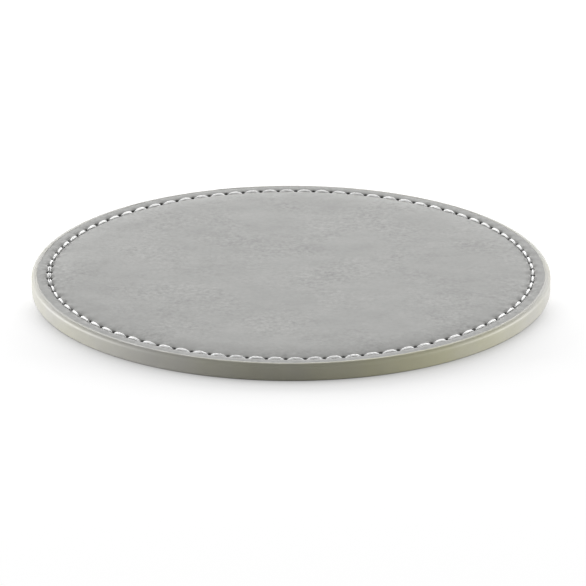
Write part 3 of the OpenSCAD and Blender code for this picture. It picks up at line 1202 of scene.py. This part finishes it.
def glue_finish():
    """Dried contact cement: amber, uneven and slightly shiny."""
    finish, tree, shader, place = toned_finish("dried cement", 0.45, CEMENT_AMBER, scale=300.0, amount=0.5)
    bump(tree, shader, soft_noise(tree, place, Scale=900.0, Detail=2.0), 0.4, 0.05 * MM)
    return finish


seat_piece(foam, "foam_layer", foam_finish())
dress_solid("core_board", board_finish())
CEMENT = glue_finish()
for film in ("upper_glue", "lower_glue"):
    dress_solid(film, CEMENT)

# %% [markdown]
# The floor
#
# The coaster lies on plain white paper. A floor that is bright enough to look white everywhere would need
# more light than the coaster should get. So the floor is ordinary paper for the light that it throws back,
# and where the camera or a reflection sees it, it is part lit paper, which keeps the lamps' shadow, and
# part painted light, as if the paper lay under an even white sky. An Ambient Occlusion node tells how much
# of that sky each point sees, so the painted light darkens softly in the corner in front of the edge: a
# painted shade. It is also painted by position: it fades out between 25 and 3 mm in front of the middle, so
# there is none at the sides and behind, and the painted light grows a little brighter between 45 and 20 mm
# in front of the middle, so it is brightest at the sides and behind.

# %% Lay the floor
FLOOR_W = 3.0
FLOOR_Z = -0.02 * MM
FLOOR_PAPER = (0.9, 0.9, 0.9, 1)
FLOOR_LIT = (0.45, 0.45, 0.45, 1)
SKY_REACH = 50 * MM
SHADE_DEPTH = 1.3
# Along y, where the painted shade fades out and where the painted light grows brighter.
PAINTED_SHADE_FADE_Y = (-25 * MM, -3 * MM)
ADDED_Y = (-45 * MM, -20 * MM)
ADDED_LIGHT = (0.66, 0.74)


def seen_rays(tree):
    """1 for rays from the camera, a reflection or a pane of glass, and 0 for rays that only carry light."""
    rays = tree.nodes.new("ShaderNodeLightPath")
    direct = maths(tree, "MAXIMUM", rays.outputs["Is Camera Ray"], rays.outputs["Is Glossy Ray"])
    return maths(tree, "MAXIMUM", direct, rays.outputs["Is Transmission Ray"])


def floor_finish():
    """Paper, and where it is seen, darker paper plus painted light times a power of the sky that it sees
    (painted shade), both graded by position.
    """
    finish, tree, shader = new_finish("white floor", **{
        "Roughness": 1.0, "Specular IOR Level": 0.0, "Emission Color": (1, 1, 1, 1)})
    seen = seen_rays(tree)
    front = add_node(tree, "ShaderNodeSeparateXYZ", object_coords(tree)).outputs["Y"]
    # Painted shade: Ambient Occlusion darkens the floor's painted light in the corner by the edge; no lamp
    # casts it.
    sky = add_node(tree, "ShaderNodeAmbientOcclusion", Distance=SKY_REACH).outputs["AO"]
    shade = maths(tree, "POWER", sky, SHADE_DEPTH)
    # Painted by position: the painted shade fades out from 25 to 3 mm in front of the middle, and the painted
    # light grows from 45 to 20 mm in front of it.
    painted_shade_fade = remap(tree, front, PAINTED_SHADE_FADE_Y, (0.0, 1.0), interpolation_type="SMOOTHSTEP")
    corner = blend(tree, "FLOAT", painted_shade_fade, shade, 1.0)
    added = maths(tree, "MULTIPLY", corner, remap(tree, front, ADDED_Y, ADDED_LIGHT))
    feed(tree, shader.inputs["Base Color"], blend(tree, "RGBA", seen, FLOOR_PAPER, FLOOR_LIT))
    feed(tree, shader.inputs["Emission Strength"], maths(tree, "MULTIPLY", added, seen))
    return finish


floor_corners = FLOOR_W * np.array([[-1, -1, 0], [1, -1, 0], [1, 1, 0], [-1, 1, 0]]) + [0, 0, FLOOR_Z]
floor_mesh = bpy.data.meshes.new("floor")
floor_mesh.from_pydata(floor_corners, [], [(0, 1, 2, 3)])
floor = bpy.data.objects.new("floor", floor_mesh)
bpy.context.scene.collection.objects.link(floor)
floor.data.materials.append(floor_finish())
print(f"floor {2 * FLOOR_W:.0f} m wide")

# %% [markdown]
# Light
#
# The light comes from a broad softbox low behind the coaster and from one low on each side, so the edge is
# dark in front and bright at both ends, and the leather darkens where it slopes to the front. A picture of
# a studio round the scene would light it too, but three area lamps can be turned one by one. The world is
# white where it is seen, and dimmer as a light.

# %% Softboxes and world
WORLD_LIGHT, WORLD_SEEN = 0.23, 1.0


def softbox(name, azimuth, rise, far, size, power):
    """An area lamp aimed at the coaster; azimuth 0 is in front, 90 on the right."""
    lamp = bpy.data.lights.new(name, "AREA")
    lamp.shape = "RECTANGLE"
    lamp.size, lamp.size_y = size
    lamp.energy = power
    box = bpy.data.objects.new(name, lamp)
    bpy.context.scene.collection.objects.link(box)
    a, e = np.radians(azimuth), np.radians(rise)
    place = Vector((np.sin(a) * np.cos(e), -np.cos(a) * np.cos(e), np.sin(e)))
    box.location = far * place
    box.rotation_euler = (-place).to_track_quat("-Z", "Y").to_euler()
    print(f"{name}: {power} W from {far} m")


softbox("back_softbox", azimuth=180, rise=21, far=1.3, size=(1.8, 0.55), power=15.5)
softbox("left_softbox", azimuth=-101, rise=8, far=1.0, size=(0.8, 0.3), power=15.4)
softbox("right_softbox", azimuth=97, rise=8, far=1.0, size=(0.8, 0.3), power=13.2)

world = bpy.data.worlds.new("studio")
bpy.context.scene.world = world
world.use_nodes = True
studio = world.node_tree
backdrop = studio.nodes["Background"]
backdrop.inputs["Color"].default_value = (1, 1, 1, 1)
strength = remap(studio, seen_rays(studio), (0.0, 1.0), (WORLD_LIGHT, WORLD_SEEN))
feed(studio, backdrop.inputs["Strength"], strength)

# %% [markdown]
# Camera
#
# The camera looks down at about 20 degrees from a metre away with a long lens, so that the disc's front
# and back look almost equally large, as in a product picture.

# %% Set up the camera
CAMERA_RISE = np.radians(20.48)
CAMERA_FAR = 1.0
AIM = Vector((0.46 * MM, -5.14 * MM, 0))
SENSOR_W = 36
LENS = 265.1

camera_data = bpy.data.cameras.new("camera")
camera_data.sensor_width = SENSOR_W
camera_data.lens = LENS
camera = bpy.data.objects.new("camera", camera_data)
bpy.context.scene.collection.objects.link(camera)
camera.location = CAMERA_FAR * Vector((0, -np.cos(CAMERA_RISE), np.sin(CAMERA_RISE)))
camera.rotation_euler = (AIM - camera.location).to_track_quat("-Z", "Y").to_euler()
bpy.context.scene.camera = camera
bpy.context.scene.view_settings.view_transform = "Standard"
print(f"camera {CAMERA_FAR} m away, {np.degrees(CAMERA_RISE):.1f} degrees above the table")
